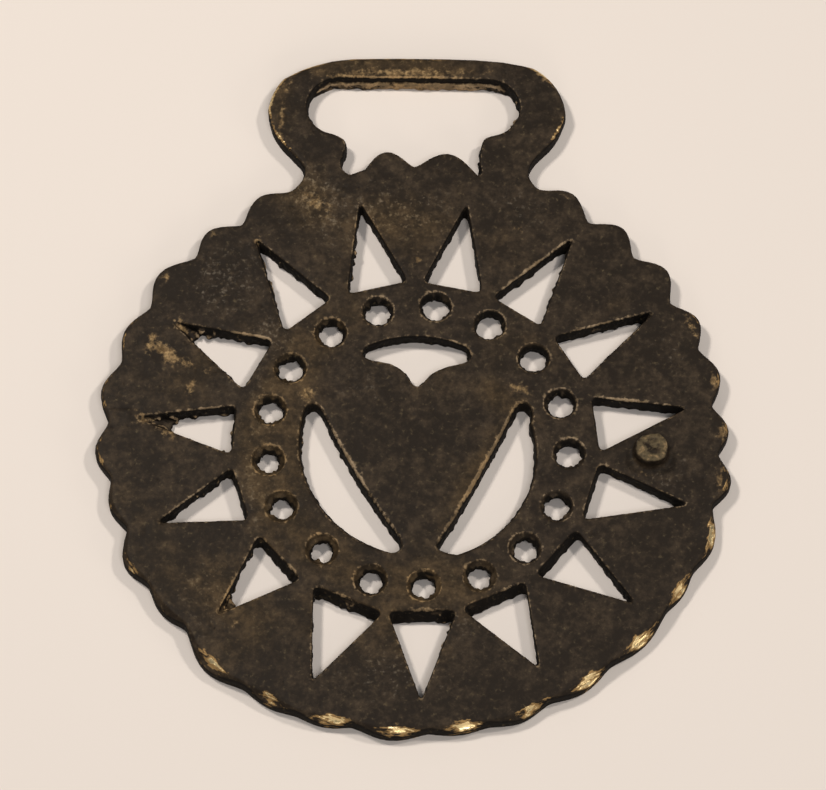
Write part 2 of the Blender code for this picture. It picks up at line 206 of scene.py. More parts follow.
# Gold facets on the crowns at the foot of the disc: an even row, with how much each one shines
GOLD_FIRST = 109.5
GOLD_PITCH = 12.2
GOLD_RADIUS = 38.5
GOLD_REACH = 2.2  # how far each reaches along the rim
GOLD_CORE = 2.1  # the height of the brightest line on each facet
GOLD_CORE_WIDTH = 0.22
GOLD_DENT = 0.4  # how deep the wear goes into the face beside each facet
STREAK_ACROSS = 2.6  # streaks in the worn metal: waves in a millimetre across the rim
STREAK_ALONG = 28.0  # and in a radian along it
GOLD_SHINE = (1.0, 0.8, 1.0, 1.0, 0.9, 1.0, 1.0, 0.9, 0.6, 0.5)
GOLD_WIDTH = (1.35, 1.3, 1.25, 1.1, 1.0, 1.0, 1.0, 1.0, 0.9, 0.9)  # and how far it reaches inwards
GOLD_FACET_REACH = 1.5  # inwards and outwards, times the width above
GOLD_DENT_REACH = 1.2
GOLD_DENT_OUT = 0.5  # the dent's middle is this much further out than the facet's
GOLD_DENT_FADE = (1.4, 2.2)
GOLD_SLOPE_FADE = (0.992, 0.93)  # a facet slopes at least this much, and shines less where it is steep
GOLD_STEEP_FADE = (0.15, 0.4)
GOLD_SPECKLE_LENGTH = 0.7
GOLD_SPECKLE_DRAWN = (1, 1, 2)  # half as long up the wall
# and fainter ones on the rounded edge elsewhere: which scallop it is on, counted from 0 and in
# part scallops, how far inside the crowns' circle, reach along and across, shine
RIM_GLINTS = (
    (5.4, 0.4, 1.3, 0.5, 0.5),
    (6.5, 0.3, 1.3, 0.5, 0.5),
    (7.3, 0.2, 1.3, 0.5, 0.5),
    (8.2, 0.3, 1.8, 0.6, 0.65),
    (18.3, 0.9, 2.6, 0.5, 0.7),
    (19.3, 0.6, 2.6, 0.45, 0.65),
    (20.3, 0.4, 2.2, 0.4, 0.6),
    (21.4, 0.2, 2.0, 0.4, 0.5),
    (22.3, 0.2, 2.4, 0.4, 0.55),
    (23.3, 0.3, 2.6, 0.4, 0.6),
    (24.3, 0.5, 2.6, 0.4, 0.55),
)
GLINT_SLOPE_FADE = (0.998, 0.96)
GLINT_STEEP_FADE = (0.15, 0.6)
# and on the strap loop: x, y, reach along and across, bearing, shine
GLINTS = (
    (-18.3, 48.4, 4.5, 1.0, 22.0, 0.85),
    (-13.8, 53.0, 4.5, 1.0, 65.0, 0.9),
    (-4.0, 54.2, 9.0, 0.8, 90.0, 0.55),
    (17.0, 51.8, 3.2, 1.0, 125.0, 0.8),
    (-17.3, 41.6, 4.0, 0.9, 155.0, 0.6),
    (18.5, 43.0, 3.0, 0.8, 25.0, 0.5),
)

# Places rubbed down to brown brass on the front: x, y, reach along and across, bearing, strength
RUBBED = (
    (-33.3, 13.4, 1.9, 0.7, 10.0, 1.0),
    (-31.4, 11.8, 2.6, 1.3, 125.0, 1.0),
    (-28.8, 10.2, 1.7, 0.8, 110.0, 0.8),
    (-26.2, 9.2, 0.8, 0.9, 0.0, 0.6),
    (-28.2, 6.9, 1.7, 0.6, 15.0, 1.0),
    (-34.0, 2.8, 1.6, 0.9, 110.0, 0.8),
    (-31.0, 1.0, 1.6, 1.0, 120.0, 0.8),
    (-29.4, 15.6, 2.2, 0.8, 110.0, 0.7),
    (-27.6, 13.6, 1.2, 0.8, 140.0, 0.6),
    (-20.2, 27.3, 0.9, 0.8, 0.0, 0.8),
    (-12.5, 33.0, 2.4, 1.4, 140.0, 0.7),
    (0.3, 24.8, 0.7, 0.7, 0.0, 0.9),
    (13.4, 29.3, 0.8, 0.5, 120.0, 0.7),
    (17.6, 31.4, 0.9, 0.4, 130.0, 0.5),
    (13.6, 6.7, 2.2, 0.8, 110.0, 0.7),
    (-13.4, 6.0, 1.4, 1.0, 60.0, 0.8),
    (-21.0, 8.5, 0.7, 0.5, 60.0, 0.6),
    (-17.2, 44.6, 6.0, 0.5, 3.0, 0.8),
    (17.0, 51.0, 2.0, 0.35, 130.0, 0.9),
    (-2.0, 52.0, 11.0, 0.7, 90.0, 0.85),
    (-9.0, 51.5, 4.0, 0.6, 85.0, 0.8),
    (-2.0, 53.4, 10.0, 0.5, 90.0, 0.45),
    (-16.4, 50.2, 3.0, 0.8, 40.0, 0.5),
    (28.6, -4.9, 1.2, 0.7, 90.0, 0.6),
    (-31.7, 22.4, 0.6, 0.5, 0.0, 1.0),
    (-25.6, 28.4, 0.6, 0.4, 60.0, 0.7),
    (-22.0, -24.5, 0.8, 0.6, 0.0, 0.7),
    (-22.0, -27.0, 0.6, 0.6, 0.0, 0.7),
)

# and on the rim's crowns: scallop, how far inside the crowns' circle, reach along and across, strength
RUBBED_CROWNS = (
    (5.5, 1.1, 1.9, 0.55, 0.9),
    (6.5, 1.0, 1.5, 0.6, 1.0),
    (7.4, 0.9, 1.6, 0.6, 1.0),
    (8.2, 1.0, 1.9, 0.6, 0.9),
    (2.5, 0.9, 1.5, 0.4, 0.5),
)

# Where the face is thick with pale flecks, and where its dark skin turns brown, in the same order
FRECKLED = (
    (-24.0, 22.5, 6.0, 4.5, 45.0, 1.0),
    (-13.0, 33.5, 6.0, 4.0, 150.0, 1.0),
    (-2.0, 31.5, 8.0, 4.0, 90.0, 0.8),
    (13.5, 32.0, 4.0, 3.0, 120.0, 0.5),
    (-18.0, 14.0, 5.0, 4.0, 40.0, 0.7),
    (-19.5, -3.0, 4.0, 14.0, 90.0, 0.6),
    (-4.0, -31.0, 9.0, 4.0, 90.0, 0.6),
    (-26.0, -20.0, 6.0, 5.0, 130.0, 0.6),
    (7.0, -24.0, 6.0, 4.0, 90.0, 0.5),
    (31.5, 12.5, 5.0, 4.0, 0.0, 0.45),
    (32.0, -6.0, 5.0, 3.5, 90.0, 0.5),
    (-5.0, 7.5, 6.0, 4.0, 90.0, 0.4),
    (22.5, -13.0, 4.0, 4.0, 0.0, 0.3),
)
BROWN = (
    (-17.0, -6.0, 5.0, 14.0, 90.0, 1.0),
    (-24.0, -20.0, 9.0, 7.0, 130.0, 0.8),
    (-2.0, 30.0, 9.0, 5.0, 90.0, 0.8),
    (-14.0, 34.0, 6.0, 5.0, 140.0, 0.8),
    (-6.0, -22.0, 10.0, 7.0, 90.0, 0.8),
    (-2.0, 52.5, 12.0, 2.5, 90.0, 1.0),
    (-28.0, 8.0, 7.0, 6.0, 0.0, 0.5),
    (13.0, 12.0, 5.0, 5.0, 0.0, 0.5),
    (11.5, 5.5, 2.5, 4.0, 30.0, 0.9),
    (7.5, -5.0, 8.0, 1.5, 28.0, 0.7),
    (-17.5, 46.0, 6.0, 2.0, 0.0, 0.7),
    (24.5, 17.5, 6.0, 2.0, 60.0, 0.4),
)
BROWN_SIDE = 245.0  # the ring of holes is brown on the side of this bearing
BROWN_SIDE_FADE = (-0.5, 0.5)  # in the ring's own radii, toward that side

# Where the skin is darkest, in the same order
SHADED = (
    (-27.5, 22.0, 7.0, 6.0, 45.0, 0.9),
    (-18.0, 30.5, 4.0, 4.0, 45.0, 0.6),
    (31.0, 8.0, 8.0, 5.0, 0.0, 0.5),
    (33.5, -8.0, 7.0, 4.0, 0.0, 0.7),
    (25.0, -20.0, 10.0, 7.0, 40.0, 0.9),
    (5.0, -34.5, 11.0, 4.0, 90.0, 0.7),
    (11.0, 38.0, 5.0, 4.0, 0.0, 0.6),
    (17.0, 33.0, 6.0, 4.0, 120.0, 0.4),
    (-0.5, -2.0, 7.0, 4.0, 0.0, 0.35),
    (-33.0, -6.0, 6.0, 3.0, 0.0, 0.3),
    (16.5, 47.0, 5.0, 3.0, 0.0, 0.5),
)

# Places left rough by the mould, at the points of the left rays and beside the heart
ROUGH = (
    (-33.4, 2.4, 3.0, 1.6, 100.0, 1.0),
    (-29.4, 14.6, 2.8, 1.6, 120.0, 1.0),
    (-31.4, 12.0, 3.2, 1.5, 125.0, 0.6),
    (-20.6, 26.9, 1.6, 1.2, 145.0, 0.8),
    (-33.8, -12.0, 2.4, 1.2, 70.0, 0.6),
    (-24.5, -25.0, 2.4, 1.4, 45.0, 0.7),
    (-13.2, 6.0, 1.6, 1.1, 60.0, 1.0),
    (-5.5, 7.0, 4.0, 3.0, 90.0, 0.25),
    (-12.5, 33.0, 4.0, 3.0, 140.0, 0.25),
    (-2.0, 51.9, 12.0, 0.6, 90.0, 0.7),
)
ROUGHNESS = 0.13
ROUGH_LENGTH = 0.9
ROUGH_FADE = (0.4, 0.9)  # none at the foot

# Creases in the face: x, y, reach along and across, bearing, depth
CREASES = (
    (-36.8, 4.2, 1.9, 0.13, 92.0, 0.12),
    (-31.0, 7.2, 3.2, 0.1, 91.0, 0.04),
    (-31.5, 6.6, 2.6, 0.1, 93.0, 0.04),
    (-32.1, 12.4, 0.35, 0.3, 0.0, 0.25),
)

# The stud
STUD_CENTRE = (29.6, -2.0)
STUD_RADIUS = 2.1
STUD_TOP_FADE = (THICKNESS + 0.8, THICKNESS + 1.3)
STUD_FOOT_FADE = (THICKNESS + 0.2, THICKNESS + 0.6)
STUD_EDGE_FADE = (1.5, 1.1)  # in its own radii, as are the next three
STUD_CLEAR_FADE = (1.2, 1.5)
STUD_DISH_REACH = 0.7
STUD_RING_FADE = (0.25, 0.9)
STUD_DISH = 0.1  # how deep its top is dished
STUD_KNOBS = 0.13
STUD_KNOB_LENGTH = 1.1
STUD_GRIT = 0.09
STUD_GRIT_LENGTH = 0.5
STUD_SIDE = 0.14
STUD_SIDE_LENGTH = 1.7
STUD_SIDE_SLOPE_FADE = (0.9, 0.5)
STUD_WALL_REACH = (STUD_RADIUS + 0.9, STUD_RADIUS + 0.6)
STUD_TOP_SLOPE_FADE = (0.3, 0.8)
STUD_SPECKLE_LENGTH = 0.7

# Noises of the patina: waves in a millimetre, octaves, and how strong the finer ones are
CLOUDS = (0.12, 5, 0.6)
ZONES = (0.1, 3, 0.6)
MOTTLE = (0.55, 8, 0.7)
GRAIN = (1.6, 5, 0.65)
FINE = (1.5, 4, 0.65)
STREAKS = (1.0, 3, 0.6)

# Colours of the patina. Where there are two, the second is for the brown places.
DARK = (0.016, 0.0108, 0.0068, 1)
DARK_BROWN = (0.0215, 0.0138, 0.0068, 1)
LIGHT = (0.062, 0.0425, 0.026, 1)
LIGHT_BROWN = (0.088, 0.056, 0.027, 1)
FLECK = (0.15, 0.122, 0.09, 1)
FLECK_BROWN = (0.2, 0.142, 0.078, 1)
# near black: grime in the hollows, and painted shade on every upright wall
GRIME_AND_WALL_SHADE = (0.0045, 0.0035, 0.0028, 1)
WORN_EDGE = (0.15, 0.112, 0.07, 1)
# the lips' colours, which also paint the highlight on lit flash and on the ledge under the bar
LIP_AND_HIGHLIGHT_DULL = (0.17, 0.115, 0.062, 1)
LIP_AND_HIGHLIGHT_PALE = (0.36, 0.26, 0.16, 1)
LIP_AND_HIGHLIGHT_PALE_BROWN = (0.38, 0.24, 0.11, 1)
STUD_SKIN = (0.105, 0.078, 0.042, 1)
STUD_BRASS = (0.3, 0.2, 0.1, 1)
BRASS_DULL = (0.15, 0.095, 0.045, 1)
BRASS_BRIGHT = (0.36, 0.24, 0.115, 1)
BURNISHED = (0.34, 0.21, 0.085, 1)
GOLD = (0.95, 0.74, 0.4, 1)
DULLNESS = 0.42  # its roughness, before tone, grime and gold change it
SPECULAR = 0.12
BUMP_STRENGTH = 0.7
BUMP_HEIGHT = 0.12

# The floor
FLOOR_HALF = 2.0  # metres
FLOOR_COLOUR = (0.783, 0.708, 0.65, 1)
FLOOR_ROUGHNESS = 0.8
FLOOR_SPECULAR = 0.2

# Lamps: name, place in metres, width in metres, watts, colour. The low ones light the gold facets.
LAMPS = (
    ("right_light", (0.31, 0.11, 0.46), 0.055, 0.95, (1, 0.95, 0.88)),
    ("left_light", (-0.21, 0.13, 0.41), 0.065, 1.17, (1, 0.95, 0.88)),
    ("ceiling_light", (0.14, -0.36, 0.7), 0.2, 1.42, (0.97, 0.97, 0.98)),
    ("low_light", (0.05, -1.2, 0.45), 0.4, 1.7, (1, 0.93, 0.82)),
    ("low_right_light", (1.0, -0.6, 0.42), 0.4, 1.5, (1, 0.93, 0.82)),
)
SURROUNDING = (0.95, 0.97, 1, 1)
SURROUNDING_STRENGTH = 0.145

# The camera
CAMERA_TILT = 67.0  # degrees above the floor
CAMERA_DISTANCE = 0.5  # metres
CAMERA_TARGET = (0.0, -1.17, 0.0)
SENSOR_WIDTH = 36.0
LENS = 173.2
SHIFT = (-0.0018, 0.0726)  # shares of the sensor's width
CLIP_START = 0.01  # metres


def softly(low, high, values):
    """0 at low, 1 at high, and a smooth step between."""
    share = np.clip((values - low) / (high - low), 0, 1)
    return share * share * (3 - 2 * share)


def noise(points, length, seed):
    """Smooth random values from -1 to 1 at the points, with waves of about this length."""
    side = 64  # the waves repeat after this many
    table = np.random.default_rng(seed).random((side, side, side)) * 2 - 1
    place = points / length
    corner = np.floor(place).astype(int)
    part = place - corner
    part = part * part * (3 - 2 * part)
    total = np.zeros(len(points))
    for dx in (0, 1):
        for dy in (0, 1):
            for dz in (0, 1):
                weight = np.abs(1 - dx - part[:, 0])
                weight = weight * np.abs(1 - dy - part[:, 1])
                weight = weight * np.abs(1 - dz - part[:, 2])
                at = (corner + (dx, dy, dz)) % side
                total += weight * table[at[:, 0], at[:, 1], at[:, 2]]
    return total


def polar(bearing, radius, centre=(0.0, 0.0)):
    """The place at a bearing and a distance from a centre."""
    angle = math.radians(bearing)
    return centre[0] + radius * math.sin(angle), centre[1] + radius * math.cos(angle)


def along_edge(start, end, share, reach, strength):
    """An oval place on a straight edge, as blots takes it."""
    dx = end[0] - start[0]
    dy = end[1] - start[1]
    length = math.hypot(dx, dy)
    bearing = math.degrees(math.atan2(dx, dy))
    x = start[0] + dx * share
    y = start[1] + dy * share
    return x, y, length * reach, LIP_WIDTH, bearing, strength


def along_ray(number, side, share, reach, strength):
    """An oval place on one side of a ray, as blots takes it."""
    middle = RAY_FIRST + RAY_PITCH * (number - 1)
    near = polar(middle - RAY_HALF_WIDTH, RAY_BASE, RING_CENTRE)
    far = polar(middle + RAY_HALF_WIDTH, RAY_BASE, RING_CENTRE)
    point = polar(middle, RAY_REACH, RING_CENTRE)
    start, end = {-1: (near, point), 0: (near, far), 1: (far, point)}[side]
    return along_edge(start, end, share, reach, strength)


def on_rim(scallop, inside, along, across, strength):
    """An oval place by the rim, as blots takes it."""
    bearing = SCALLOP_PITCH * scallop
    x, y = polar(bearing, CROWN_RADIUS - inside)
    return x, y, along, across, bearing + 90, strength


def patch(points, x, y, along, across, bearing):
    """1 in the middle of an oval place on the plate, falling smoothly, almost to 0 at twice its reach."""
    angle = math.radians(bearing)
    dx = points[:, 0] - x
    dy = points[:, 1] - y
    u = (dx * math.sin(angle) + dy * math.cos(angle)) / along
    v = (dx * math.cos(angle) - dy * math.sin(angle)) / across
    return np.exp(-(u * u + v * v))


def with_modifier(mesh, kind, **settings):
    """The mesh after one modifier."""
    helper = bpy.data.objects.new("helper", mesh)
    bpy.context.scene.collection.objects.link(helper)
    modifier = helper.modifiers.new(kind, kind)
    for name, value in settings.items():
        setattr(modifier, name, value)
    bpy.context.view_layer.update()
    graph = bpy.context.evaluated_depsgraph_get()
    made = bpy.data.meshes.new_from_object(helper.evaluated_get(graph))
    bpy.data.objects.remove(helper)
    return made


def points_of(mesh):
    """The mesh's vertices, in millimetres."""
    points = np.empty(len(mesh.vertices) * 3, np.float32)
    mesh.vertices.foreach_get("co", points)
    return points.reshape(-1, 3).astype(float) / MM


def set_points(mesh, points):
    """Put the mesh's vertices at points given in millimetres, and keep them inside the solid's box."""
    inside = np.clip(points, LOW, HIGH)
    mesh.vertices.foreach_set("co", (inside * MM).astype(np.float32).ravel())
    mesh.update()


def normals_of(mesh):
    """The mesh's vertex normals."""
    normals = np.empty(len(mesh.vertices) * 3, np.float32)
    mesh.vertex_normals.foreach_get("vector", normals)
    return normals.reshape(-1, 3).astype(float)


def edges_of(mesh):
    """The two ends of each edge."""
    ends = np.empty(len(mesh.edges) * 2, np.int32)
    mesh.edges.foreach_get("vertices", ends)
    return ends.reshape(-1, 2)


def averaged(values, ends, rounds):
    """Values or points, each pulled half way to its neighbours' mean, this many times."""
    count = np.bincount(ends.ravel(), minlength=len(values))
    columns = values.reshape(len(values), -1)
    for _ in range(rounds):
        means = np.empty_like(columns)
        for k in range(columns.shape[1]):
            column = columns[:, k]
            total = np.bincount(ends[:, 0], weights=column[ends[:, 1]], minlength=len(column))
            total += np.bincount(ends[:, 1], weights=column[ends[:, 0]], minlength=len(column))
            means[:, k] = total / count
        columns = (columns + means) / 2
    return columns.reshape(values.shape)


def patch_ring(points):
    """1 on the band of holes, 0 away from it."""
    radius = np.hypot(points[:, 0] - RING_CENTRE[0], points[:, 1] - RING_CENTRE[1])
    return softly(*HOLE_BAND_FADE, np.abs(radius - RING_RADIUS))


def brown_ring(points):
    """1 where the band of holes is brownest, 0 away from it and on its far side."""
    x = points[:, 0] - RING_CENTRE[0]
    y = points[:, 1] - RING_CENTRE[1]
    band = np.exp(-(((np.hypot(x, y) - RING_RADIUS) / BROWN_BAND) ** 2))
    angle = math.radians(BROWN_SIDE)
    toward = (x * math.sin(angle) + y * math.cos(angle)) / RING_RADIUS
    return band * softly(*BROWN_SIDE_FADE, toward)


def stud_distance(points):
    """How far each point is from the stud's middle line."""
    return np.hypot(points[:, 0] - STUD_CENTRE[0], points[:, 1] - STUD_CENTRE[1])


def openings(points):
    """1 inside the disc and the slot, where every wall is an opening's, and 0 round the rim and stud."""
    radius = np.hypot(points[:, 0], points[:, 1])
    in_disc = softly(PIERCED_RADIUS + PIERCED_FADE, PIERCED_RADIUS - PIERCED_FADE, radius)
    in_slot = softly(*SLOT_SIDE_FADE, np.abs(points[:, 0])) * softly(*SLOT_TOP_FADE, points[:, 1])
    in_slot = in_slot * softly(*SLOT_FOOT_FADE, points[:, 1])
    on_stud = softly(*STUD_WALL_REACH, stud_distance(points))
    return np.maximum(in_disc, in_slot) * (1 - on_stud)


def under_bar(points, normals, inner):
    """1 on the underside of the bar over the slot."""
    return inner * softly(*UNDERSIDE_FADE, normals[:, 1]) * softly(*BAR_FADE, points[:, 1])


def blots(points, places):
    """1 in the middle of the places listed, falling to 0 round them."""
    total = np.zeros(len(points))
    for x, y, along, across, bearing, strength in places:
        total = np.maximum(total, strength * patch(points, x, y, along, across, bearing))
    return total


def flash(points, normals, inner):
    """How far the ragged flash and the ledge stand out of the walls of the openings."""
    wall = inner * softly(*FLASH_WALL_FADE, np.hypot(normals[:, 0], normals[:, 1]))
    low = softly(FLASH_TOP, FLASH_TOP - FLASH_FADE, points[:, 2])
    in_ring = patch_ring(points)
    amount = FLASH + HOLE_FLASH * in_ring
    for x, y, reach, extra in FLASH_PATCHES:
        amount = amount + extra * patch(points, x, y, reach, reach, 0)
    spread = points * (1, 1, FLASH_RISE)
    finer = noise(spread, FLASH_LENGTH / FLASH_FINER, SEED + 2)
    ragged = noise(spread, FLASH_LENGTH, SEED + 1) + 0.6 * finer
    ragged = 0.5 * ragged + 0.3 * np.maximum(0, ragged - 0.2)
    below = softly(LEDGE_TOP + LEDGE_FADE, LEDGE_TOP - LEDGE_FADE, points[:, 2])
    ledge = under_bar(points, normals, inner) * below
    ledge = ledge * LEDGE * (1 + LEDGE_WAVES * noise(spread, FLASH_LENGTH, SEED + 11))
    return wall * low * amount * (ragged + 0.15 + 0.25 * in_ring) + ledge


def pits(points, normals):
    """How deep the scattered pits of the casting are at each point of the front and back."""
    random = np.random.default_rng(SEED + 3)
    depth = np.zeros(len(points))
    face = softly(*FACE_FADE, np.abs(normals[:, 2]))
    order = np.argsort(points[:, 0])
    xs = points[order, 0]
    for _ in range(PITS):
        x = random.uniform(LOW[0], HIGH[0])
        y = random.uniform(LOW[1], HIGH[1])
        radius = random.uniform(*PIT_RADII)
        deep = random.uniform(*PIT_DEPTHS)
        first, last = np.searchsorted(xs, (x - radius, x + radius))
        near = order[first:last]
        away = np.hypot(points[near, 0] - x, points[near, 1] - y) / radius
        depth[near] = np.maximum(depth[near], deep * np.maximum(0, 1 - away**2))
    return depth * face


def skin_relief(points, normals):
    """How high the cast skin stands: its swells, grit, rough places and pits."""
    lift = SWELL * noise(points, SWELL_LENGTH, SEED + 4)
    lift += SKIN * noise(points, SKIN_LENGTH, SEED + 5) + GRIT * noise(points, GRIT_LENGTH, SEED + 6)
    rough = blots(points, ROUGH) * softly(*ROUGH_FADE, points[:, 2])
    coarse = noise(points, ROUGH_LENGTH, SEED + 7)
    lift += rough * ROUGHNESS * (coarse + 0.6 * noise(points, ROUGH_LENGTH / 2, SEED + 8))
    return lift - pits(points, normals)


def stud_relief(points, normals, around, top):
    """How high the stud's dished, knobbly top and its uneven side stand."""
    lift = -top * STUD_DISH * np.maximum(0, 1 - (around / STUD_DISH_REACH) ** 2)
    knobs = STUD_KNOBS * noise(points, STUD_KNOB_LENGTH, SEED + 9)
    lift += top * (knobs + STUD_GRIT * noise(points, STUD_GRIT_LENGTH, SEED + 14))
    side = softly(*STUD_EDGE_FADE, around) * softly(*STUD_FOOT_FADE, points[:, 2])
    side = side * softly(*STUD_SIDE_SLOPE_FADE, normals[:, 2])
    return lift + side * STUD_SIDE * noise(points, STUD_SIDE_LENGTH, SEED + 15)


def worn_lips(points, normals, inner):
    """1 on the light raised lips round the openings, strongest where RAY_LIPS and LIPS say."""
    level = normals[:, 2]
    lip = inner * softly(*LIP_SLOPE_FADE, level) * softly(*LIP_FLAT_FADE, level)
    lip = lip * softly(*LIP_FOOT_FADE, points[:, 2])
    faces_foot = softly(*LIP_FOOTWARD_FADE, normals[:, 1])
    stretches = softly(*LIP_STRETCH_FADE, noise(points, LIP_STRETCH, SEED + 10))
    places = [along_ray(*row) for row in RAY_LIPS] + [along_edge(*row) for row in LIPS]
    named = blots(points, places) * (0.2 + 0.8 * faces_foot)
    holes = 0.16 * patch_ring(points) * (0.6 - 0.4 * normals[:, 1])
    thin = softly(*LIP_THIN_FADE, level) * (0.3 + holes)
    return lip * np.maximum(named, thin) * (0.55 + 0.45 * stretches)


def dents(points):
    """How deep the rim is worn beside each gold facet, and the creases are, at each point."""
    near_face = softly(*GOLD_DENT_FADE, points[:, 2])
    depth = np.zeros(len(points))
    for i, width in enumerate(GOLD_WIDTH):
        bearing = GOLD_FIRST + GOLD_PITCH * i
        x, y = polar(bearing, GOLD_RADIUS + GOLD_DENT_OUT)
        reach = GOLD_DENT_REACH * width
        depth += GOLD_DENT * near_face * patch(points, x, y, reach, GOLD_REACH, bearing)
    for x, y, along, across, bearing, deep in CREASES:
        depth += deep * patch(points, x, y, along, across, bearing)
    return depth


def lit_flash(points, normals, inner, stands_out):
    """1 where flash or the ledge under the bar gets a painted highlight, as if it caught the lamps."""
    lit = inner * softly(*FLASH_LIT_FADE, stands_out) * softly(*FLASH_LEVEL_FADE, normals[:, 2])
    lit = 0.7 * lit * (1 - 0.85 * patch_ring(points))
    ledge = under_bar(points, normals, inner) * softly(*LEDGE_LIT_FADE, points[:, 2])
    ledge = ledge * (0.22 + 0.5 * patch(points, *LEDGE_BRIGHT))
    speckle = noise(points * LEDGE_SPECKLE_DRAWN, LEDGE_SPECKLE_LENGTH, SEED + 16)
    return np.maximum(lit, ledge * (1 + 0.8 * speckle))


def mark(mesh, name, values):
    """Store one number for each vertex, from 0 to 1, for the material."""
    layer = mesh.attributes.new(name, "FLOAT", "POINT")
    layer.data.foreach_set("value", np.clip(values, 0, 1).astype(np.float32))


def mark_places(mesh, points, normals):
    """Mark where the skin is freckled, brown, shaded or rubbed."""
    mark(mesh, "freckled", blots(points, FRECKLED))
    mark(mesh, "brown", np.maximum(blots(points, BROWN), brown_ring(points)))
    mark(mesh, "shade", blots(points, SHADED))
    rubbed = RUBBED + tuple(on_rim(*row) for row in RUBBED_CROWNS)
    mark(mesh, "rubbed", blots(points, rubbed) * softly(*FRONT_FADE, normals[:, 2]))


def mark_stud(mesh, points, normals, around, top):
    """Mark the stud's worn top, more to its edge."""
    speckle = noise(points, STUD_SPECKLE_LENGTH, SEED + 13)
    ring = 0.45 + 0.55 * softly(*STUD_RING_FADE, around) + 0.45 * speckle
    mark(mesh, "stud", top * softly(*STUD_TOP_SLOPE_FADE, normals[:, 2]) * ring)


def mark_wear_grime_and_wall_shade(mesh, normals, raised, inner, lit, around):
    """Mark the high edges that are worn, the hollows where grime stays, and painted shade on the upright
    walls.
    """
    off_stud = softly(*STUD_CLEAR_FADE, around)
    # painted shade: the upright walls, the rim's too, go near black, less where flash has its painted
    # highlight
    wall = (0.85 + 0.15 * inner) * softly(*WALL_FADE, np.abs(normals[:, 2])) * off_stud
    wall = wall * (1 - 0.7 * lit)
    mark(mesh, "edge_wear", raised / WEAR_DEPTH)
    mark(mesh, "grime_and_wall_shade", np.maximum(-raised / WEAR_DEPTH, wall))


def mark_gold(mesh, points, normals):
    """Mark the facets at the rim where the brass shines through."""
    gold = np.zeros(len(points))
    level = normals[:, 2]
    facet = softly(*GOLD_SLOPE_FADE, level) * (0.45 + 0.55 * softly(*GOLD_STEEP_FADE, level))
    for i, (shine, width) in enumerate(zip(GOLD_SHINE, GOLD_WIDTH)):
        bearing = GOLD_FIRST + GOLD_PITCH * i
        x, y = polar(bearing, GOLD_RADIUS)
        reach = GOLD_FACET_REACH * width
        gold = np.maximum(gold, shine * patch(points, x, y, reach, GOLD_REACH, bearing))
    core = np.exp(-(((points[:, 2] - GOLD_CORE) / GOLD_CORE_WIDTH) ** 2))
    speckle = noise(points * GOLD_SPECKLE_DRAWN, GOLD_SPECKLE_LENGTH, SEED + 12)
    gold = gold * (0.62 + 0.4 * core + 0.3 * speckle)
    edge = softly(*GLINT_SLOPE_FADE, level) * softly(*GLINT_STEEP_FADE, level)
    glints = GLINTS + tuple(on_rim(*row) for row in RIM_GLINTS)
    mark(mesh, "gold", np.maximum(gold * facet, blots(points, glints) * edge))


def shape(mesh):
    """Give the fine mesh the casting's unevenness, and mark where it is worn, golden or grimy, and where
    shade and highlights are painted.
    """
    ends = edges_of(mesh)
    points = averaged(points_of(mesh), ends, SOFTEN_ROUNDS)
    set_points(mesh, points)
    normals = normals_of(mesh)
    inner = openings(points)
    stands_out = flash(points, normals, inner)
    points = points + normals * stands_out[:, None]
    around = stud_distance(points) / STUD_RADIUS
    top = softly(*STUD_TOP_FADE, points[:, 2])
    lip = worn_lips(points, normals, inner)
    lift = skin_relief(points, normals) + stud_relief(points, normals, around, top)
    lift = lift + lip * LIP_HEIGHT - dents(points)
    back = BACK_RELIEF * softly(*BACK_FADE, points[:, 2])
    lift = lift * np.where(normals[:, 2] < BACK, back, 1)
    points = points + normals * lift[:, None]
    set_points(mesh, points)
    points = points_of(mesh)
    normals = normals_of(mesh)
    raised = np.sum((points - averaged(points, ends, WEAR_ROUNDS)) * normals, axis=1)
    lit = lit_flash(points, normals, inner, stands_out)
    # the lip mark also holds the painted highlight on lit flash and on the ledge under the bar
    mark(mesh, "lip", np.maximum(lip, lit))
    mark_wear_grime_and_wall_shade(mesh, normals, raised, inner, lit, around)
    mark_gold(mesh, points, normals)
    mark_places(mesh, points, normals)
    mark_stud(mesh, points, normals, around, top)


def build_casting():
    """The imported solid, remeshed finely, made uneven as cast and thinned where it is smooth."""
    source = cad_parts[NODE]
    fine = with_modifier(source.data.copy(), "REMESH", mode="VOXEL", voxel_size=VOXEL * MM)
    shape(fine)
    ratio = MOST_TRIANGLES / (2 * len(fine.polygons))  # the remesh makes four-sided faces
    mesh = with_modifier(fine, "DECIMATE", ratio=ratio)
    mesh.name = "horse_brass_casting"
    mesh.polygons.foreach_set("use_smooth", [True] * len(mesh.polygons))
    mesh.materials.clear()
    mesh.materials.append(build_patina())
    casting = bpy.data.objects.new("horse_brass_casting", mesh)
    bpy.context.scene.collection.objects.link(casting)
    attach(casting, "root")
    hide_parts(NODE)


